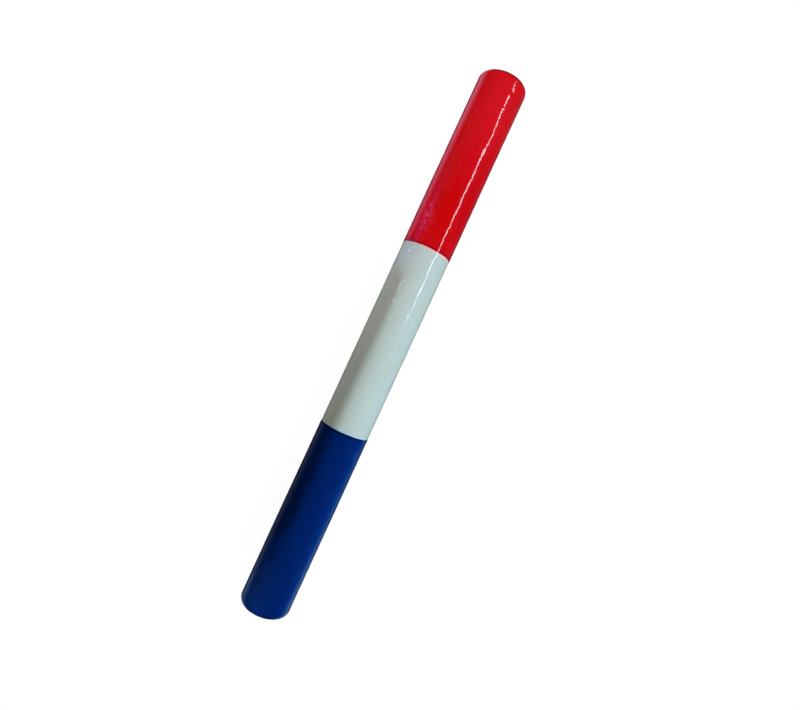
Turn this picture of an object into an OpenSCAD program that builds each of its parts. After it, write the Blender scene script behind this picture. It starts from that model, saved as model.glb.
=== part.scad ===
/* [Stick] */
// Overall length, from end face to end face
stick_length = 300; // [250:1:400]
// Diameter over the coloured paint
stick_diameter = 26.4; // [18:0.1:36]
// Radius of the rounded edge at the red end
red_end_round = 3; // [1:0.1:6]
// Radius of the rounded edge at the blue end
blue_end_round = 3.4; // [1:0.1:6]

/* [Paint] */
// Length of the red band, measured from the red end face
red_band = 98; // [40:0.5:120]
// Length of the blue band, measured from the blue end face
blue_band = 100.5; // [40:0.5:120]
// Thickness of the white coat that covers the whole stick
base_coat = 0.15; // [0.1:0.05:0.5]
// Thickness of each coloured coat on top of the white one
top_coat = 0.15; // [0.1:0.05:0.4]

/* [Hidden] */
$fn = 96;

// The stick lies along X on the plane Z = 0, red end towards +X
stick_radius = stick_diameter / 2;
half_length = stick_length / 2;
red_edge_x = half_length - red_band;
blue_edge_x = blue_band - half_length;

// A quarter of a disc, filling the corner right of and below its centre
module quarter_disc(radius) {
    intersection() {
        circle(r = radius);
        translate([0, -radius]) square(radius);
    }
}

// Half of the stick's lengthwise section, from the flat blue end face (low Y)
// to the flat red one (high Y), with both edges rounded. inset is the depth
// below the coloured paint, the same at the wall, the edges and the end faces.
module stick_section(inset) {
    blue_round = blue_end_round - inset;
    red_round = red_end_round - inset;
    wall_low = blue_end_round - half_length;
    wall_high = half_length - red_end_round;
    translate([0, wall_low])
        square([stick_radius - inset, wall_high - wall_low]);

    translate([0, wall_low - blue_round])
        square([stick_radius - blue_end_round, blue_round]);
    translate([stick_radius - blue_end_round, wall_low])
        quarter_disc(blue_round);

    translate([0, wall_high])
        square([stick_radius - red_end_round, red_round]);
    translate([stick_radius - red_end_round, wall_high])
        mirror([0, 1]) quarter_disc(red_round);
}

// The whole round stick, at a depth below the coloured paint
module stick_body(inset) {
    translate([0, 0, stick_radius])
        rotate([0, 90, 0])
            rotate_extrude() stick_section(inset);
}

// Everything between two places along the stick
module stretch(from_x, to_x) {
    translate([from_x, -stick_diameter, -stick_diameter])
        cube([to_x - from_x, 2 * stick_diameter, 3 * stick_diameter]);
}

// A coloured cup of paint over one end of the white stick
module end_coat(from_x, to_x) {
    intersection() {
        difference() {
            stick_body(0);
            stick_body(top_coat);
        }
        stretch(from_x, to_x);
    }
}

// Turned solid wooden dowel with rounded ends
module wood_core() {
    color("burlywood")
        stick_body(top_coat + base_coat);
}

// White enamel over the whole dowel, seen as the middle band
module white_coat() {
    color([0.75, 0.80, 0.78])
        difference() {
            stick_body(top_coat);
            stick_body(top_coat + base_coat);
        }
}

// Red enamel over one third of the stick and its end face
module red_coat() {
    color([0.78, 0.05, 0.09])
        end_coat(red_edge_x, stick_length);
}

// Blue enamel over the other third and its end face
module blue_coat() {
    color([0.01, 0.11, 0.38])
        end_coat(-stick_length, blue_edge_x);
}

wood_core();
white_coat();
red_coat();
blue_coat();
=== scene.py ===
import math

import bpy
import numpy as np
from mathutils import Matrix, Vector, noise


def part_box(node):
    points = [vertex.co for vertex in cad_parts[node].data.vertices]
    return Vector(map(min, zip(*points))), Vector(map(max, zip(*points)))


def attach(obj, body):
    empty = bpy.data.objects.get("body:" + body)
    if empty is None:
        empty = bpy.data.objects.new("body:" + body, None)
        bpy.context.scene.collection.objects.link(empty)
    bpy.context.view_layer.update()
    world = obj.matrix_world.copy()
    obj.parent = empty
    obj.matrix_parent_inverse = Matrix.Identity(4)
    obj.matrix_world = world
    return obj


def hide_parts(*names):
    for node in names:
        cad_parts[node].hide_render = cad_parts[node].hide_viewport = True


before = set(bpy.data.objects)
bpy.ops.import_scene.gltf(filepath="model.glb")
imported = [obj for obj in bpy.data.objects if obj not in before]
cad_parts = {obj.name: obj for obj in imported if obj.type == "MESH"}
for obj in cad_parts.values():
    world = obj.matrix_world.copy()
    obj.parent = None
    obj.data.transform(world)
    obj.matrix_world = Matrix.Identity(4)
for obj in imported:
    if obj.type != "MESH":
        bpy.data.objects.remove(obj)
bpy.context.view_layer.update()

MM = 0.001

# ---------------------------------------------------------------- sizes, from the frame

white_low, white_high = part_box("white_coat")
red_low, red_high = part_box("red_coat")
blue_low, blue_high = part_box("blue_coat")
core_low, core_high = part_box("wood_core")

AXIS_Z = (red_low.z + red_high.z) / 2
RADIUS = (red_high.z - red_low.z) / 2
WHITE_RADIUS = (white_high.z - white_low.z) / 2
CORE_RADIUS = (core_high.z - core_low.z) / 2
TOP_COAT = RADIUS - WHITE_RADIUS
BASE_COAT = WHITE_RADIUS - CORE_RADIUS
RED_EDGE = red_low.x
BLUE_EDGE = blue_high.x
RED_FACE = red_high.x
BLUE_FACE = blue_low.x
MIDDLE = Vector((0, 0, AXIS_Z))

# The same edge radii as the CAD part has
RED_ROUND = 3.0 * MM
BLUE_ROUND = 3.4 * MM

# ---------------------------------------------------------------- how fine the meshes are

AROUND = 208                 # points round the stick
FINE_STEP = 0.42 * MM        # from ring to ring along the wall where it shows
COARSE_STEP = 12 * MM        # and where it is covered
ROUND_STEPS = 14             # steps over a rounded edge
FACE_STEP = 0.5 * MM         # from ring to ring over an end face where it shows
HIDDEN_FACE_STEP = 3 * MM    # and where it is covered

# ---------------------------------------------------------------- relief of the painted wood

# Small things in the paint: (mm along the stick, degrees round it from the top towards -Y,
# half length mm, half width mm, height mm)
MARKS = [
    (47.3, -36.8, 0.45, 0.45, 0.09),     # dust nib under the white, near the red edge
    (48.1, -17.4, 0.4, 0.4, 0.03),       # a fainter one beside it
    (21.0, -18.3, 1.5, 1.1, 0.055),      # sag that hangs from a thin run
    (26.5, -19.6, 5.0, 0.7, 0.02),       # the run above it
    (18.5, 20.7, 0.4, 0.4, 0.03),        # nib past the sag
    (109.0, 24.5, 13.0, 2.0, -0.035),    # long and short flats, which widen the light line
    (107.8, 25.0, 1.8, 1.6, -0.05),
    (91.0, 24.5, 1.2, 1.5, -0.02),
    (114.5, 16.5, 4.0, 2.2, -0.05),      # hollows either side of it, which make it jump over
    (104.0, 32.5, 3.5, 2.2, -0.05),
    (134.5, 31.0, 7.0, 2.6, -0.12),      # sanded hollow, which bends the light line
    (141.5, 24.0, 1.6, 2.2, -0.12),      # deeper one beside the red end, which breaks it
    (143.8, 28.0, 1.3, 2.5, 0.04),       # paint gathered past it
    (-134.7, -31.3, 0.55, 0.55, -0.09),  # pit in the blue
    (-133.2, -33.0, 0.6, 0.6, 0.03),     # raised lip of the pit
    (-125.8, -73.5, 0.8, 1.0, -0.09),    # nick at the blue band's side
    (-58.9, 55.0, 5.0, 0.5, 0.02),       # faint run in the blue
    (-92.0, 21.0, 0.5, 0.5, 0.03),       # nibs and runs all round, from here on
    (-112.0, 150.0, 0.6, 0.6, 0.04),
    (-71.0, -128.0, 3.5, 0.9, 0.03),
    (96.0, -141.0, 0.5, 0.5, 0.05),
    (118.0, 118.0, 4.0, 0.9, 0.03),
    (70.0, 172.0, 0.6, 0.6, 0.05),
    (5.0, 138.0, 0.5, 0.5, 0.045),
    (-22.0, -112.0, 4.0, 0.8, 0.03),
    (-38.0, 96.0, 0.5, 0.5, 0.04),
]
MARK_REACH = 3.0   # half sizes from its middle within which a mark is felt

# Lumps of the surface: size across, how far they are drawn out along the stick, height, seed
FACET = dict(size=9.0 * MM, drawn=3.2, height=0.085 * MM, seed=11.0)
WAVE = dict(size=3.0 * MM, drawn=1.3, height=0.042 * MM, seed=23.0)
RIPPLE = dict(size=3.2 * MM, drawn=0.45, height=0.056 * MM, seed=37.0)

PITH = Vector((0, 5.5 * MM, -7.0 * MM))   # the tree's middle, from the stick's axis
RING_PITCH = 1.9 * MM                     # from one growth ring to the next
RING_HEIGHT = 0.012 * MM                  # how far the rings stand out under the paint
RING_WAVER = 4 * MM                       # size of the waves in them
RING_STRAY = 0.25 * RING_PITCH            # and how far these shift them

FACE_SKEW = math.tan(math.radians(1.1))   # how far the end faces are out of square
SKEW_REACH = 8 * MM                       # and how far along the stick that is felt


def lumps(point, size, drawn, height, seed):
    """Smooth rises and hollows about as wide as size, drawn out along the stick."""
    place = Vector((point.x / drawn, point.y, point.z)) / size
    return height * noise.noise(place + Vector((seed, -seed, seed / 3)))


def marks_at(point, around):
    """Height of the single marks at a point on the wall."""
    total = 0.0
    for along_mm, degrees, half_length, half_width, height in MARKS:
        across = (point.x / MM - along_mm) / half_length
        if abs(across) > MARK_REACH:
            continue
        turn = math.remainder(around - math.radians(degrees), math.tau)
        sideways = turn * RADIUS / MM / half_width
        if abs(sideways) < MARK_REACH:
            total += height * MM * math.exp(-across * across - sideways * sideways)
    return total


def wood_relief(point, faces_end):
    """What the hand-sanded dowel adds to every coat: soft facets, and growth rings at its ends."""
    height = lumps(point, **FACET)
    if faces_end > 0:
        from_pith = (Vector((0, point.y, point.z - AXIS_Z)) - PITH).length
        from_pith += RING_STRAY * noise.noise(point / RING_WAVER)
        height += faces_end * RING_HEIGHT * math.sin(math.tau * from_pith / RING_PITCH)
    return height


def film_relief(point, around):
    """What the brushed enamel adds: waves, short ripples across the stick and the single marks."""
    return lumps(point, **WAVE) + lumps(point, **RIPPLE) + marks_at(point, around)


# ---------------------------------------------------------------- outlines of the coats
#
# An outline is a list of (along, out) points of a lengthwise section. It starts beside the centre
# of an end face, goes out over the rounded edge and then along the wall.

# The masked edge of a coloured coat: (mm from the edge, mm above the white coat), from the wall
# over a low ridge that the tape leaves and down to the white
LIP = [(0.9, 0.15), (0.62, 0.153), (0.44, 0.162), (0.32, 0.175), (0.22, 0.183), (0.14, 0.178),
       (0.08, 0.158), (0.035, 0.122), (0.01, 0.075), (0.0, 0.0)]
LIP_WANDER = 0.10 * MM
LIP_WANDER_SIZE = 6 * MM
WALL_STOP = 1.2 * MM      # the wall's own points stop this far from the edge, where the lip starts
UNDER_STOP = 0.5 * MM     # and those of the underside this far
EDGE_OVERLAP = 0.4 * MM   # how far the fine part of the white runs on under the colours


def even_steps(start, stop, step):
    """Places from start to stop, about a step apart, both ends included."""
    count = max(1, round(abs(stop - start) / step))
    return [start + (stop - start) * i / count for i in range(count + 1)]


def end_outline(face, radius, rounding, wall_stop, wall_step, face_step):
    """From beside the end face's centre to wall_stop on the wall."""
    corner = radius - rounding
    outline = [(face, out) for out in even_steps(face_step, corner, face_step)]
    for i in range(1, ROUND_STEPS):
        turn = math.pi / 2 * i / ROUND_STEPS
        outline.append((face - rounding * (1 - math.cos(turn)), corner + rounding * math.sin(turn)))
    outline += [(along, radius) for along in even_steps(face - rounding, wall_stop, wall_step)]
    return outline


def cup_outlines(edge, face, rounding):
    """Outside and underside of a coloured coat, worked out with its end up the along axis."""
    outside = end_outline(face, RADIUS, rounding, edge + WALL_STOP, FINE_STEP, FACE_STEP)
    outside += [(edge + along * MM, WHITE_RADIUS + out * MM) for along, out in LIP]
    underside = end_outline(face - TOP_COAT, WHITE_RADIUS, rounding - TOP_COAT, edge + UNDER_STOP,
                            COARSE_STEP, HIDDEN_FACE_STEP)
    return outside, underside


def stick_outline(depth, wall_step):
    """The whole stick's outline, from the red face to the blue one, at a depth below the colours."""
    radius = RADIUS - depth
    show_from, show_to = BLUE_EDGE - EDGE_OVERLAP, RED_EDGE + EDGE_OVERLAP
    red_side = end_outline(RED_FACE - depth, radius, RED_ROUND - depth, show_to,
                           COARSE_STEP, HIDDEN_FACE_STEP)
    blue_side = end_outline(-BLUE_FACE - depth, radius, BLUE_ROUND - depth, -show_from,
                            COARSE_STEP, HIDDEN_FACE_STEP)
    wall = [(along, radius) for along in even_steps(show_to, show_from, wall_step)][1:-1]
    return red_side + wall + [(-along, out) for along, out in blue_side[::-1]]


# ---------------------------------------------------------------- meshes from outlines

def normals_of(outline):
    """Unit vectors that point away from the wood, one for each of an outline's points."""
    ahead = np.gradient(np.array(outline), axis=0)
    away = np.stack([ahead[:, 1], -ahead[:, 0]], axis=1)
    return away / np.linalg.norm(away, axis=1)[:, None]


def skewed(point):
    """The end faces are sanded by hand, a little out of square."""
    for face in (RED_FACE, BLUE_FACE):
        way = math.copysign(1, face)
        depth = 1 - (face - point.x) * way / SKEW_REACH
        if depth > 0:
            depth = min(depth, 1.0)
            point.x -= FACE_SKEW * point.y * depth * depth * (3 - 2 * depth)
    return point


def spun_rings(outline, way, relief_of_film):
    """The outline spun round the stick's axis, with the relief pushed out along its normals.

    way is 1 where the outline's along axis is +X and -1 where it is -X.
    """
    rings = []
    for (along, out), (lean_along, lean_out) in zip(outline, normals_of(outline)):
        # 1 on an end face, and 0 from where half of the normal or less lies along the stick
        faces_end = max(0.0, abs(lean_along) - 0.5) * 2
        ring = []
        for j in range(AROUND):
            around = math.tau * j / AROUND
            sideways = Vector((0, -math.sin(around), math.cos(around)))
            here = MIDDLE + Vector((way * along, 0, 0)) + sideways * out
            height = wood_relief(here, faces_end)
            if relief_of_film:
                height += film_relief(here, around)
            here += Vector((way * lean_along, 0, 0)) * height + sideways * (lean_out * height)
            ring.append(skewed(here))
        rings.append(ring)
    return rings


def wander(rings, seed):
    """The masking tape's edge isn't quite straight: the lip's rings shift a little along the stick."""
    for ring in rings:
        for point in ring:
            place = Vector((seed, point.y, point.z)) / LIP_WANDER_SIZE
            point.x += LIP_WANDER * noise.noise(place)


def lathe_piece(name, shells):
    """One mesh from closed shells.

    A shell is (rings, way): its rings run from one end face's centre to another's, or back to the
    same one, and way turns its faces outwards.
    """
    vertices, faces = [], []
    for rings, way in shells:
        first = len(vertices)
        for ring in rings:
            vertices += ring
        last = len(vertices) - AROUND
        start_centre = len(vertices)
        vertices.append(sum(rings[0], Vector()) / AROUND)
        stop_centre = len(vertices)
        vertices.append(sum(rings[-1], Vector()) / AROUND)
        for j in range(AROUND):
            k = (j + 1) % AROUND
            shell_faces = [(start_centre, first + j, first + k), (last + k, last + j, stop_centre)]
            for low in range(first, last, AROUND):
                shell_faces.append((low + k, low + j, low + AROUND + j, low + AROUND + k))
            faces += shell_faces if way > 0 else [face[::-1] for face in shell_faces]
    mesh = bpy.data.meshes.new(name)
    mesh.from_pydata(vertices, [], faces)
    mesh.shade_smooth()
    mesh.update()
    piece = bpy.data.objects.new(name, mesh)
    bpy.context.scene.collection.objects.link(piece)
    return piece


def coloured_coat(name, edge, face, rounding, seed):
    """A cup of enamel over one end of the stick."""
    way = 1 if face > 0 else -1
    outside, underside = cup_outlines(way * edge, way * face, rounding)
    rings = spun_rings(outside, way, True)
    wander(rings[-len(LIP):], seed)
    return lathe_piece(name, [(rings + spun_rings(underside, way, False)[::-1], way)])


def wood_surface():
    """Rings over the bare wood, which the white coat's underside meets."""
    return spun_rings(stick_outline(TOP_COAT + BASE_COAT, COARSE_STEP), 1, False)


def white_coat(name):
    """The white enamel over the whole dowel: fine where it shows, plain under the colours."""
    outside = spun_rings(stick_outline(TOP_COAT, FINE_STEP), 1, True)
    return lathe_piece(name, [(outside, 1), (wood_surface(), -1)])


def wooden_core(name):
    """The turned and hand-sanded dowel."""
    return lathe_piece(name, [(wood_surface(), 1)])


# ---------------------------------------------------------------- materials

class Graph:
    """A material's node tree, with short ways to add and join nodes."""

    def __init__(self, name):
        self.material = bpy.data.materials.new(name)
        self.material.use_nodes = True
        self.tree = self.material.node_tree
        self.shader = self.tree.nodes["Principled BSDF"]

    def add(self, kind, inputs=None, **settings):
        """A new node, each of its inputs set to a value or joined to another node's output."""
        node = self.tree.nodes.new(kind)
        for key, value in settings.items():
            setattr(node, key, value)
        for key, value in (inputs or {}).items():
            if isinstance(value, bpy.types.NodeSocket):
                self.tree.links.new(value, node.inputs[key])
            else:
                node.inputs[key].default_value = value
        return node

    def vector(self, operation, first, second=(0, 0, 0)):
        return self.add("ShaderNodeVectorMath", {0: first, 1: second}, operation=operation).outputs

    def math(self, operation, first, second=0.0):
        return self.add("ShaderNodeMath", {0: first, 1: second}, operation=operation).outputs["Value"]

    def place(self):
        """Place on the object, in metres, in the frame that the whole part shares."""
        return self.add("ShaderNodeTexCoord").outputs["Object"]

    def along(self):
        """Metres along the stick."""
        return self.add("ShaderNodeSeparateXYZ", {"Vector": self.place()}).outputs["X"]

    def from_line(self, point):
        """Metres from the line along the stick that goes through a point."""
        away = self.vector("SUBTRACT", self.place(), point)["Vector"]
        across = self.vector("MULTIPLY", away, (0, 1, 1))["Vector"]
        return self.vector("LENGTH", across)["Value"]

    def noise(self, size, stretch=1.0, detail=2.0, rough=0.5, shift=0.0):
        """Noise from about 0.2 to 0.8, its lumps about size across and drawn out along the stick."""
        mapping = self.add("ShaderNodeMapping", {
            "Vector": self.place(), "Scale": (1 / stretch, 1, 1), "Location": (shift, shift, shift),
        })
        return self.add("ShaderNodeTexNoise", {
            "Vector": mapping.outputs["Vector"], "Scale": 1 / size, "Detail": detail, "Roughness": rough,
        }).outputs["Fac"]

    def ramp(self, value, from_low, from_high, to_low=0.0, to_high=1.0):
        """The value carried from one range to another, held at its ends and eased in between."""
        return self.add("ShaderNodeMapRange", {
            "Value": value, "From Min": from_low, "From Max": from_high,
            "To Min": to_low, "To Max": to_high,
        }, interpolation_type="SMOOTHSTEP").outputs["Result"]

    def patch(self, along_mm, degrees, half_length, half_width):
        """1 at a place on the wall, given as in MARKS, easing to 0 at its half sizes."""
        turn = math.radians(degrees)
        middle = MIDDLE + Vector((along_mm * MM, -math.sin(turn) * RADIUS, math.cos(turn) * RADIUS))
        away = self.vector("SUBTRACT", self.place(), middle)["Vector"]
        narrow = 1 / (half_width * MM)
        scaled = self.vector("MULTIPLY", away, (1 / (half_length * MM), narrow, narrow))["Vector"]
        return self.ramp(self.vector("LENGTH", scaled)["Value"], 0.0, 1.0, 1.0, 0.0)

    def mix(self, factor, first, second):
        """A colour on the way from the first to the second."""
        node = self.add("ShaderNodeMix", data_type="RGBA")
        self.tree.links.new(factor, node.inputs["Factor"])
        for socket, value in (("A", first), ("B", second)):
            target = next(s for s in node.inputs if s.name == socket and s.type == "RGBA")
            if isinstance(value, bpy.types.NodeSocket):
                self.tree.links.new(value, target)
            else:
                target.default_value = (*value, 1)
        return next(s for s in node.outputs if s.type == "RGBA")

    def bump(self, height, distance, below=None):
        """A normal bent by the height, on top of another bump where below is given."""
        inputs = {"Height": height, "Distance": distance, "Strength": 1.0}
        if below is not None:
            inputs["Normal"] = below
        return self.add("ShaderNodeBump", inputs).outputs["Normal"]

    def join(self, value, name):
        self.tree.links.new(value, self.shader.inputs[name])

    def set(self, name, value):
        self.shader.inputs[name].default_value = value


# Textures of the paint: lump size, how far it is drawn out along the stick, layers of detail
FILM = dict(size=15 * MM, stretch=3.0, detail=3.0)                  # thick and thin film
STROKES = dict(size=2.2 * MM, stretch=7.0, detail=3.0)              # the brush's strokes
CLOUDS = dict(size=4.5 * MM, stretch=1.7, detail=2.0, shift=1.3)    # pigment that drifted
END_SHADE_UNEVENNESS = dict(size=5 * MM, stretch=1.0, detail=2.0, shift=0.7)     # more and less of the painted shade round the ends
DUST = dict(size=0.7 * MM, stretch=1.0, detail=1.0)                 # specks
HANDLING = dict(size=12 * MM, stretch=1.6, detail=4.0, rough=0.6)   # gloss dulled by hands
SCUFFS = dict(size=0.5 * MM, stretch=22.0, detail=2.0, shift=0.3)   # long fine scuffs
ORANGE_PEEL = dict(size=1.2 * MM, stretch=1.2, detail=2.0, rough=0.45)
BRISTLES = dict(size=0.45 * MM, stretch=9.0, detail=1.0)            # lines that bristles leave

# How much each of them does at most: a share of the colour, an added roughness, or a depth
STROKE_SHARE = 0.36
CLOUD_SHARE = 0.7
DUST_SHARE = 0.6
END_SHADE_LEAST = 0.6                   # share of the painted end shade's colour where there is least of it
GLOSS_ROUGHNESS = (0.035, 0.085)   # of fresh and of handled paint
SCUFF_ROUGHNESS = 0.10
ORANGE_PEEL_DEPTH = 0.016 * MM
BRISTLE_DEPTH = 0.003 * MM

EDGE_HIGHLIGHT_SHADE_WIDTH = 0.9 * MM    # width of the painted highlight and painted shade lines along a masked edge, at half strength
EDGE_HIGHLIGHT_SHADE_SOFT = 0.75 * MM   # and how far to both sides of that it fades
END_SHADE_START = 2.2 * MM   # from an end face, where the painted shade round it starts
END_SHADE_PEAK = 0.7 * MM    # and where it is at full strength
END_SHADE_WIDTH = 3.2 * MM   # how far in from the wall it ends
END_SHADE_CORE_WIDTH = 1.5 * MM   # and how far in it stays at full strength
ENAMEL_IOR = 1.5


def enamel(name, full, thin, deep, cloud, dust, edge_highlight_shade_lines, tone_and_painted_light_patches, end_shade=None):
    """Gloss enamel brushed over wood.

    full, thin and deep are the colours of an ordinary, a thin and a thick film, cloud is one that
    the pigment drifts to in small clouds, and dust is that of specks in it.
    edge_highlight_shade_lines is a list of (edge along the stick, way into the film, colour) of the
    painted highlight and painted shade lines along the masked edges.
    tone_and_painted_light_patches is one of (place and half sizes as in MARKS, colour, speckles),
    where speckles is (mm across, how far drawn out along the stick), or None for an even patch; a
    few are the paint's own tints and specks, most are painted light, shade, highlights and
    reflections. end_shade is (end face along the stick, way out of it, colour) of the painted shade
    round the rim of an end.
    """
    graph = Graph(name)
    film = graph.ramp(graph.noise(**FILM), 0.36, 0.64)
    shade = graph.mix(film, thin, full)
    strokes = graph.ramp(graph.noise(**STROKES), 0.36, 0.72, 0.0, STROKE_SHARE)
    shade = graph.mix(strokes, shade, deep)
    drift = graph.ramp(graph.noise(**CLOUDS), 0.42, 0.68, 0.0, CLOUD_SHARE)
    shade = graph.mix(drift, shade, cloud)
    # Painted highlight lines on the white and painted shade lines on the colours, along the masked edges
    for edge, way, colour in edge_highlight_shade_lines:
        into = graph.math("MULTIPLY", graph.math("SUBTRACT", graph.along(), edge), way)
        line = graph.ramp(into, EDGE_HIGHLIGHT_SHADE_WIDTH - EDGE_HIGHLIGHT_SHADE_SOFT, EDGE_HIGHLIGHT_SHADE_WIDTH + EDGE_HIGHLIGHT_SHADE_SOFT, 1.0, 0.0)
        shade = graph.mix(line, shade, colour)
    # Patches of the paint's own tint and specks, and of painted light, painted shade, painted highlights
    # and painted reflections
    for place, colour, speckles in tone_and_painted_light_patches:
        cover = graph.patch(*place)
        if speckles:
            across, drawn = speckles
            grain = graph.ramp(graph.noise(across * MM, drawn, detail=3.0, rough=0.6), 0.42, 0.66)
            cover = graph.math("MULTIPLY", cover, grain)
        shade = graph.mix(cover, shade, colour)
    # Painted shade: a dark rim round the end face's edge
    if end_shade:
        face, way, colour = end_shade
        out = graph.math("MULTIPLY", graph.math("SUBTRACT", graph.along(), face), way)
        outside = graph.ramp(out, -END_SHADE_START, -END_SHADE_PEAK)
        round_it = graph.ramp(graph.from_line(MIDDLE), RADIUS - END_SHADE_WIDTH, RADIUS - END_SHADE_CORE_WIDTH)
        uneven = graph.ramp(graph.noise(**END_SHADE_UNEVENNESS), 0.3, 0.6, END_SHADE_LEAST, 1.0)
        cover = graph.math("MULTIPLY", graph.math("MULTIPLY", outside, round_it), uneven)
        shade = graph.mix(cover, shade, colour)
    specks = graph.ramp(graph.noise(**DUST), 0.74, 0.80, 0.0, DUST_SHARE)
    graph.join(graph.mix(specks, shade, dust), "Base Color")

    handled = graph.ramp(graph.noise(**HANDLING), 0.36, 0.66, *GLOSS_ROUGHNESS)
    scuffs = graph.ramp(graph.noise(**SCUFFS), 0.66, 0.76, 0.0, SCUFF_ROUGHNESS)
    graph.join(graph.math("ADD", handled, scuffs), "Roughness")
    peel = graph.bump(graph.noise(**ORANGE_PEEL), ORANGE_PEEL_DEPTH)
    graph.join(graph.bump(graph.noise(**BRISTLES), BRISTLE_DEPTH, peel), "Normal")
    graph.set("IOR", ENAMEL_IOR)
    return graph.material


# Textures of the wood, given like those of the paint
RING_WAVES = dict(size=30 * MM, stretch=6.0, detail=3.0)
PORES = dict(size=0.35 * MM, stretch=18.0, detail=2.0)
FIBRES = dict(size=0.4 * MM, stretch=20.0, detail=3.0)

RING_DRIFT = 2.4 * MM            # the most that waves shift the rings
PORE_SHARE = 0.55
FIBRE_DEPTH = 0.05 * MM
WOOD_ROUGHNESS = (0.62, 0.5)     # of early and of late wood
EARLY_WOOD = (0.64, 0.43, 0.24)
LATE_WOOD = (0.42, 0.24, 0.11)
PORE_BROWN = (0.25, 0.13, 0.06)


def bare_wood(name):
    """Pale close-grained hardwood: growth rings about the pith, and pores."""
    graph = Graph(name)
    waver = graph.ramp(graph.noise(**RING_WAVES), 0.2, 0.8, 0.0, RING_DRIFT)
    from_pith = graph.math("ADD", graph.from_line(MIDDLE + PITH), waver)
    turns = graph.math("DIVIDE", from_pith, RING_PITCH)
    late = graph.ramp(graph.math("FRACT", turns), 0.45, 1.0)
    shade = graph.mix(late, EARLY_WOOD, LATE_WOOD)
    pores = graph.ramp(graph.noise(**PORES), 0.55, 0.75, 0.0, PORE_SHARE)
    graph.join(graph.mix(pores, shade, PORE_BROWN), "Base Color")
    graph.join(graph.ramp(late, 0.0, 1.0, *WOOD_ROUGHNESS), "Roughness")
    graph.join(graph.bump(graph.noise(**FIBRES), FIBRE_DEPTH), "Normal")
    return graph.material


# ---------------------------------------------------------------- the object

red_paint = enamel(
    "red_enamel", full=(0.69, 0.0029, 0.0078), thin=(0.73, 0.005, 0.011),
    deep=(0.56, 0.0017, 0.006), cloud=(0.68, 0.0022, 0.0040), dust=(0.75, 0.03, 0.04),
    # painted shade line along the masked edge
    edge_highlight_shade_lines=[(RED_EDGE, 1, (0.34, 0.001, 0.012))],
    # painted shade round the rim of the end face
    end_shade=(RED_FACE, 1, (0.20, 0.001, 0.012)),
    tone_and_painted_light_patches=[
        ((134.0, 8.0, 46.0, 30.0), (0.76, 0.0085, 0.016), None),        # paler towards the end
        ((74.0, 3.0, 26.0, 12.0), (0.69, 0.0022, 0.0028), None),        # purest near the edge
        ((66.0, -31.0, 16.0, 5.0), (0.86, 0.052, 0.138), (1.3, 1.3)),   # painted reflection of the window, broken into specks
    ])
white_paint = enamel(
    "white_enamel", full=(0.60, 0.678, 0.645), thin=(0.60, 0.653, 0.62),
    deep=(0.632, 0.708, 0.68), cloud=(0.560, 0.683, 0.625), dust=(0.50, 0.52, 0.48),
    # painted highlight lines along both masked edges
    edge_highlight_shade_lines=[(RED_EDGE, -1, (1.0, 0.56, 0.56)), (BLUE_EDGE, 1, (0.53, 0.66, 0.80))],
    tone_and_painted_light_patches=[
        ((47.5, -42.0, 12.0, 12.0), (0.56, 0.67, 0.74), None),          # painted reflection of the window's bluish light, by the red edge
        ((47.3, -36.8, 1.2, 1.2), (1.0, 1.0, 1.0), None),               # painted glint on the nib in it
        ((48.1, -17.4, 1.8, 1.8), (0.72, 0.62, 0.70), None),            # pink spot
        ((21.0, -18.3, 2.0, 1.5), (0.82, 0.86, 0.82), None),            # painted highlight on the sag
        ((28.5, -19.8, 6.5, 0.9), (0.92, 0.97, 0.90), None),            # and a painted highlight along its run
    ])
blue_paint = enamel(
    "blue_enamel", full=(0.0003, 0.0155, 0.136), thin=(0.0005, 0.020, 0.156),
    deep=(0.00025, 0.011, 0.109), cloud=(0.0004, 0.019, 0.150), dust=(0.008, 0.03, 0.16),
    # painted shade line along the masked edge
    edge_highlight_shade_lines=[(BLUE_EDGE, -1, (0.0003, 0.005, 0.048))],
    # painted shade round the rim of the end face
    end_shade=(BLUE_FACE, -1, (0.0002, 0.002, 0.015)),
    tone_and_painted_light_patches=[
        ((-136.0, -32.0, 27.0, 10.5), (0.006, 0.030, 0.20), None),      # painted haze: reflected and added light on the left near the end
        ((-149.0, -35.0, 17.0, 12.0), (0.003, 0.040, 0.28), None),      # painted light on the shoulder
        ((-98.0, 63.0, 130.0, 9.0), (0.0006, 0.024, 0.19), None),       # painted light along the lit flank
        ((-100.0, 64.0, 100.0, 7.5), (0.0016, 0.040, 0.21), (1.1, 6.0)),  # and painted light there, in streaks that follow the brush
        ((-120.4, -28.5, 3.0, 2.0), (0.0003, 0.011, 0.10), None),       # dark speck
        ((-134.7, -31.3, 1.1, 1.1), (0.0002, 0.003, 0.02), None),       # painted shade in the pit
        ((-58.9, 55.0, 4.0, 0.7), (0.008, 0.085, 0.31), None),          # painted highlight on the run
    ])

red_piece = coloured_coat("red_enamel_coat", RED_EDGE, RED_FACE, RED_ROUND, seed=3.0)
white_piece = white_coat("white_enamel_coat")
blue_piece = coloured_coat("blue_enamel_coat", BLUE_EDGE, BLUE_FACE, BLUE_ROUND, seed=7.0)
dowel_piece = wooden_core("turned_dowel")

for piece, node, slot, look in (
        (red_piece, "red_coat", "red_enamel", red_paint),
        (white_piece, "white_coat", "white_enamel", white_paint),
        (blue_piece, "blue_coat", "blue_enamel", blue_paint),
        (dowel_piece, "wood_core", "wood", bare_wood("turned_wood"))):
    piece.data.materials.append(look)
    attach(piece, "root")
    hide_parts(node)

# ---------------------------------------------------------------- camera

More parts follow.
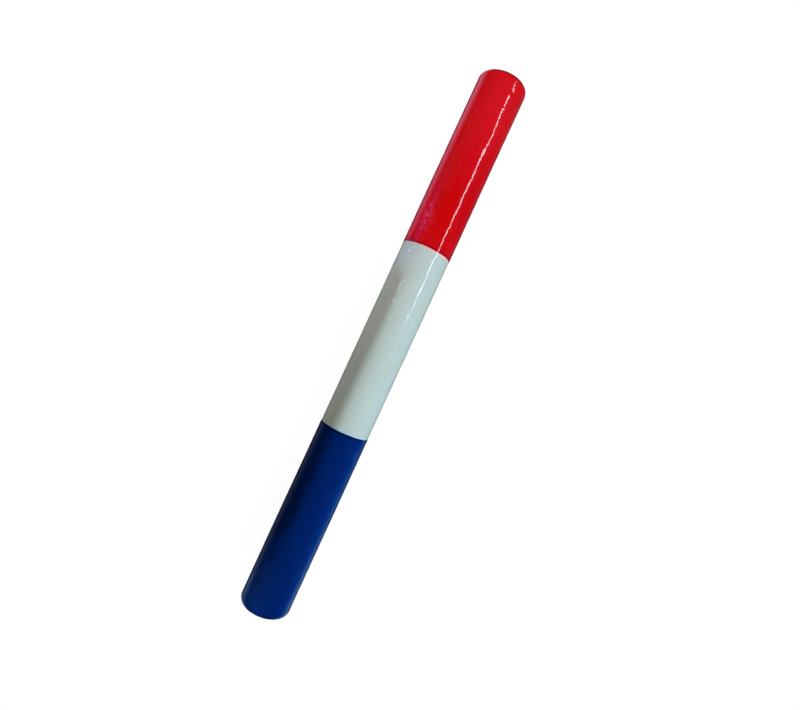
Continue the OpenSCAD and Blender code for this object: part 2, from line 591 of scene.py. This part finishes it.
SENSOR_WIDTH = 36.0
LENS = 22.93
LEAN = math.radians(65.35)   # the stick's turn on the picture, from picture right
TIP = math.radians(0.89)     # the red end's fall away from the camera
CAMERA_FROM_MIDDLE = Vector((-6.54, -9.99, 265.84)) * MM
CLIP_NEAR = 0.01
CLIP_FAR = 100


def set_camera():
    """Looks almost straight down on the stick, which leans across the picture."""
    along = Vector((math.cos(TIP) * math.cos(LEAN), math.cos(TIP) * math.sin(LEAN), -math.sin(TIP)))
    up = Vector((math.sin(TIP) * math.cos(LEAN), math.sin(TIP) * math.sin(LEAN), math.cos(TIP)))
    turn = Matrix((along, up.cross(along), up))
    data = bpy.data.cameras.new("camera")
    data.sensor_width = SENSOR_WIDTH
    data.lens = LENS
    data.clip_start = CLIP_NEAR
    data.clip_end = CLIP_FAR
    camera = bpy.data.objects.new("camera", data)
    camera.matrix_world = Matrix.Translation(MIDDLE + CAMERA_FROM_MIDDLE) @ turn.to_4x4()
    bpy.context.scene.collection.objects.link(camera)
    bpy.context.scene.camera = camera


set_camera()

# ---------------------------------------------------------------- stage: what the camera sees

FLOOR_SIZE = 8.0
FLOOR_DEPTH = 0.09 * MM      # the floor lies just under the lowest of the stick's ripples
FLOOR_LIGHT = 0.97
FLOOR_MATT = (0.06, 0.06, 0.06)
BOUNCE_SIZE = 4.0
BOUNCE_DEPTH = 0.4 * MM
BOUNCE_MATT = (0.50, 0.51, 0.44)
BLACK = (0, 0, 0)


def stage_mesh(name, corners, faces, material):
    mesh = bpy.data.meshes.new(name)
    mesh.from_pydata(corners, [], faces)
    mesh.materials.append(material)
    panel = bpy.data.objects.new(name, mesh)
    bpy.context.scene.collection.objects.link(panel)
    return panel


def flat_panel(name, height, size, material):
    half = size / 2
    corners = [(-half, -half, height), (half, -half, height), (half, half, height), (-half, half, height)]
    return stage_mesh(name, corners, [(0, 1, 2, 3)], material)


def show_to(panel, camera=False, gloss=False, matt=False, shadow=False):
    """Which rays meet the panel: the camera's, mirror ones, scattered ones, or those to a lamp."""
    panel.visible_camera = camera
    panel.visible_glossy = gloss
    panel.visible_transmission = False
    panel.visible_diffuse = matt
    panel.visible_shadow = shadow


def stage_material(name, light, matt):
    """Gives off its own even white light and scatters the share matt of what falls on it."""
    material = bpy.data.materials.new(name)
    material.use_nodes = True
    shader = material.node_tree.nodes["Principled BSDF"]
    shader.inputs["Base Color"].default_value = (*matt, 1)
    shader.inputs["Roughness"].default_value = 1.0
    shader.inputs["Specular IOR Level"].default_value = 0.0
    shader.inputs["Emission Color"].default_value = (1, 1, 1, 1)
    shader.inputs["Emission Strength"].default_value = light
    return material


# The floor that shows is almost white, so that the stick stands out as on a catalogue page. A
# darker one just below it does the bouncing, so that the stick's shaded side isn't washed out.
floor = flat_panel("floor", -FLOOR_DEPTH, FLOOR_SIZE,
                   stage_material("floor_white", FLOOR_LIGHT, FLOOR_MATT))
show_to(floor, camera=True)
bounce_floor = flat_panel("bounce_floor", -BOUNCE_DEPTH, BOUNCE_SIZE,
                          stage_material("bounce_grey", 0.0, BOUNCE_MATT))
show_to(bounce_floor, matt=True)


def backdrop_dome(radius, rings, sides):
    """A white dome over everything, so that low views don't show where the floor ends."""
    corners, faces = [], []
    for i in range(rings + 1):
        rise = math.pi / 2 * i / rings
        reach = radius * math.cos(rise)
        height = radius * math.sin(rise) - FLOOR_DEPTH
        for j in range(sides):
            turn = math.tau * j / sides
            corners.append((reach * math.cos(turn), reach * math.sin(turn), height))
    for i in range(rings):
        low, high = i * sides, (i + 1) * sides
        for j in range(sides):
            k = (j + 1) % sides
            faces.append((low + j, low + k, high + k, high + j))
    dome = stage_mesh("backdrop", corners, faces, stage_material("backdrop_white", 1.0, BLACK))
    show_to(dome, camera=True)


backdrop_dome(FLOOR_SIZE / 2, rings=8, sides=32)

# ---------------------------------------------------------------- stage: what the gloss sees

def blend_stops(stops, along):
    """The colour at a place along the stick, from a list of (mm along, colour)."""
    places, colours = zip(*stops)
    return [float(np.interp(along / MM, places, channel)) for channel in zip(*colours)]


def eased(value):
    """Held within 0 and 1, and eased in between."""
    value = min(1.0, max(0.0, value))
    return value * value * (3 - 2 * value)


def glow_sheet(name, corner_at, light_at, steps_u, steps_v):
    """A sheet that only gloss sees, its light painted point by point.

    corner_at(u, v) is a point of the sheet and light_at(u, v) its radiance, for u and v from 0 to 1.
    """
    places = [(i / steps_u, j / steps_v) for i in range(steps_u + 1) for j in range(steps_v + 1)]
    row = steps_v + 1
    faces = [(i * row + j, i * row + j + 1, (i + 1) * row + j + 1, (i + 1) * row + j)
             for i in range(steps_u) for j in range(steps_v)]
    material = bpy.data.materials.new(name)
    material.use_nodes = True
    tree = material.node_tree
    tree.nodes.remove(tree.nodes["Principled BSDF"])
    paint = tree.nodes.new("ShaderNodeAttribute")
    paint.attribute_name = "glow"
    light = tree.nodes.new("ShaderNodeEmission")
    tree.links.new(paint.outputs["Color"], light.inputs["Color"])
    tree.links.new(light.outputs["Emission"], tree.nodes["Material Output"].inputs["Surface"])
    sheet = stage_mesh(name, [corner_at(u, v) for u, v in places], faces, material)
    glow = sheet.data.color_attributes.new("glow", "FLOAT_COLOR", "POINT")
    for item, (u, v) in zip(glow.data, places):
        item.color = (*light_at(u, v), 1)
    show_to(sheet, gloss=True)


GLOW_HALF_LENGTH = 180 * MM
GLOW_FAN = 253 * MM      # the strip widens with distance, doubling its length every so far
GLOW_NEAR_SOFT = 0.25    # its near edge fades in over this share of its distance from the axis
GLOW_FAR_SOFT = 0.25     # and its far edge fades out over this share of the sheet
GLOW_STEPS_ALONG = 48
GLOW_STEPS_OUT = 40


def floor_glow(name, side, near, full, far, falloff, stops):
    """Lit floor beside the stick, towards +Y or -Y, that its lower flank mirrors.

    near and far are how far from the axis it starts and ends. Past full it falls off by the power
    falloff of the distance. stops gives its colour by the part of the stick that it lies beside.
    """
    def beside(u):
        return GLOW_HALF_LENGTH * (2 * u - 1)

    def out_at(v):
        return near * (far / near) ** v

    def corner_at(u, v):
        return (beside(u) * (1 + out_at(v) / GLOW_FAN), side * out_at(v), 0)

    def light_at(u, v):
        fade = min(1.0, full / out_at(v)) ** falloff
        fade *= eased((1 - v) / GLOW_FAR_SOFT) * eased((out_at(v) / near - 1) / GLOW_NEAR_SOFT)
        return [channel * fade for channel in blend_stops(stops, beside(u))]

    glow_sheet(name, corner_at, light_at, GLOW_STEPS_ALONG, GLOW_STEPS_OUT)


LEFT_STOPS = [(-160, (0.26, 0.54, 1.05)), (-136, (0.20, 0.35, 0.62)),
              (-120, (0.12, 0.15, 0.20)), (-75, (0.10, 0.12, 0.15)),
              (-40, (0.14, 0.14, 0.13)), (20, (0.16, 0.16, 0.14)), (60, (0.32, 0.34, 0.76)),
              (110, (0.72, 0.53, 0.88)), (160, (0.87, 0.63, 1.02))]
RIGHT_STOPS = [(-160, (0.34, 0.60, 0.84)), (-134, (0.22, 0.50, 0.76)), (-100, (0.12, 0.32, 0.44)),
               (-60, (0.08, 0.24, 0.32)), (50, (0.05, 0.06, 0.08)), (160, (0.10, 0.08, 0.14))]
floor_glow("left_floor_glow", side=1, near=26 * MM, full=52 * MM, far=700 * MM, falloff=1.1,
           stops=LEFT_STOPS)
floor_glow("right_floor_glow", side=-1, near=21 * MM, full=34 * MM, far=300 * MM, falloff=1.8,
           stops=RIGHT_STOPS)


WINDOW_CORNER = Vector((95, 350, 30)) * MM
WINDOW_WIDTH = 145 * MM
WINDOW_HEIGHT = 250 * MM
WINDOW_LIGHT = (0.07, 0.05, 0.66)
WINDOW_SOFT = 4          # it is brightest in the middle and fades out all the way to its edges
WINDOW_STEPS = 16


def window_glow():
    """A small window low on the left by the red end, seen as a haze in the red."""
    def corner_at(u, v):
        return WINDOW_CORNER + Vector((WINDOW_WIDTH * u, 0, WINDOW_HEIGHT * v))

    def light_at(u, v):
        soft = eased(WINDOW_SOFT * u * (1 - u)) * eased(WINDOW_SOFT * v * (1 - v))
        return [channel * soft for channel in WINDOW_LIGHT]

    glow_sheet("window_glow", corner_at, light_at, WINDOW_STEPS, WINDOW_STEPS)


window_glow()

# ---------------------------------------------------------------- lamps

def place_round(degrees, distance, along):
    """A place round the stick: degrees from straight up towards -Y, metres away, metres along."""
    turn = math.radians(degrees)
    return MIDDLE + Vector((along, -math.sin(turn) * distance, math.cos(turn) * distance))


def aimed(lamp, place, aim):
    """Puts a lamp at place, facing aim, its own X axis along the stick."""
    back = (place - aim).normalized()
    along = (Vector((1, 0, 0)) - back * back.x).normalized()
    turn = Matrix((along, back.cross(along), back)).transposed()
    lamp.matrix_world = Matrix.Translation(place) @ turn.to_4x4()


def lamp_of(name, kind, colour, gloss, matt):
    """A lamp that the camera doesn't see, and that lights gloss, matt shading or both."""
    data = bpy.data.lights.new(name, kind)
    data.color = colour
    lamp = bpy.data.objects.new(name, data)
    lamp.visible_glossy = gloss
    lamp.visible_diffuse = matt
    lamp.visible_camera = False
    bpy.context.scene.collection.objects.link(lamp)
    return lamp


def panel_lamp(name, place, aim, length, width, colour, radiance, gloss=False, matt=True, spread=180):
    """A rectangular lamp with its length along the stick."""
    lamp = lamp_of(name, "AREA", colour, gloss, matt)
    lamp.data.shape = "RECTANGLE"
    lamp.data.size = length
    lamp.data.size_y = width
    lamp.data.spread = math.radians(spread)
    lamp.data.energy = radiance * math.pi * length * width
    aimed(lamp, place, aim)


KEY_DEGREES = 15.0
KEY_ANGLE = math.radians(3.4)
KEY_COLOUR = (0.87, 1.0, 1.0)
KEY_RADIANCE = 0.294         # of matt white that faces the key
KEY_DISTANCE = 2.0
key = lamp_of("key", "SUN", KEY_COLOUR, gloss=False, matt=True)
key.data.angle = KEY_ANGLE
key.data.energy = KEY_RADIANCE * math.pi
aimed(key, place_round(KEY_DEGREES, KEY_DISTANCE, 0), MIDDLE)

# A narrow flag over the stick keeps the key off the +Y side of its middle
FLAG_RISE = 80 * MM          # above the stick's axis
FLAG_EDGE = 3.9 * MM         # where the shadow's edge crosses the stick's top, towards +Y
FLAG_REACH = 13 * MM         # the shadow's width
FLAG_TIP = 0.1 * MM          # what is left of the flag where it is narrowest
FLAG_ENDS = ((-132, -98), (30, 50))   # mm along where the shadow narrows to nothing
FLAG_STEP = 2                # mm along from one point of its edge to the next


def key_flag():
    shift = (FLAG_RISE - RADIUS) * math.tan(math.radians(KEY_DEGREES))
    height = AXIS_Z + FLAG_RISE
    far = FLAG_EDGE + FLAG_REACH - shift
    corners = []
    (blue_stop, blue_start), (red_start, red_stop) = FLAG_ENDS
    for along_mm in range(blue_stop, red_stop + 1, FLAG_STEP):
        narrow = eased((blue_start - along_mm) / (blue_start - blue_stop))
        narrow += eased((along_mm - red_start) / (red_stop - red_start))
        edge = FLAG_EDGE + FLAG_REACH * narrow - shift
        corners += [(along_mm * MM, edge, height), (along_mm * MM, far + FLAG_TIP, height)]
    faces = [(i, i + 1, i + 3, i + 2) for i in range(0, len(corners) - 2, 2)]
    flag = stage_mesh("key_flag", corners, faces, stage_material("flag_black", 0.0, BLACK))
    show_to(flag, shadow=True)


key_flag()

# The strip light whose mirror image runs along the red and part of the white, as two lamps: its
# name, where it starts and stops along the stick, and its radiance
TUBE_PARTS = (("tube", 0.128, 0.715, 10.5), ("tube_end", 0.100, 0.128, 3.0))
TUBE_DEGREES = 51.0
TUBE_DISTANCE = 1.0
TUBE_WIDTH = 0.10
TUBE_COLOUR = (0.92, 1.0, 1.15)
for name, start, stop, radiance in TUBE_PARTS:
    middle = (start + stop) / 2
    panel_lamp(name, place_round(TUBE_DEGREES, TUBE_DISTANCE, middle), place_round(0, 0, middle),
               stop - start, TUBE_WIDTH, TUBE_COLOUR, radiance, gloss=True, matt=False)

panel_lamp("side_soft", place_round(60, 1.2, 0.0), MIDDLE, length=1.6, width=0.8,
           colour=(0.71, 0.85, 1.0), radiance=3.25)
panel_lamp("red_fill", Vector((0.20, 0.24, 0.32)), Vector((0.08, 0, 0)), length=0.25, width=0.25,
           colour=(1.0, 0.68, 0.60), radiance=0.55, spread=80)
panel_lamp("window_fill", Vector((0.19, 0.30, 0.12)), Vector((0.09, 0, 0.013)), length=0.16,
           width=0.16, colour=(0.72, 0.80, 1.0), radiance=0.48, spread=50)

SKY_COLOUR = (0.90, 1.10, 0.72)
SKY_STRENGTH = 0.10

world = bpy.data.worlds.new("world")
world.use_nodes = True
world.node_tree.nodes["Background"].inputs["Color"].default_value = (*SKY_COLOUR, 1)
world.node_tree.nodes["Background"].inputs["Strength"].default_value = SKY_STRENGTH
world.cycles_visibility.glossy = False
bpy.context.scene.world = world

bpy.context.scene.view_settings.view_transform = "Standard"
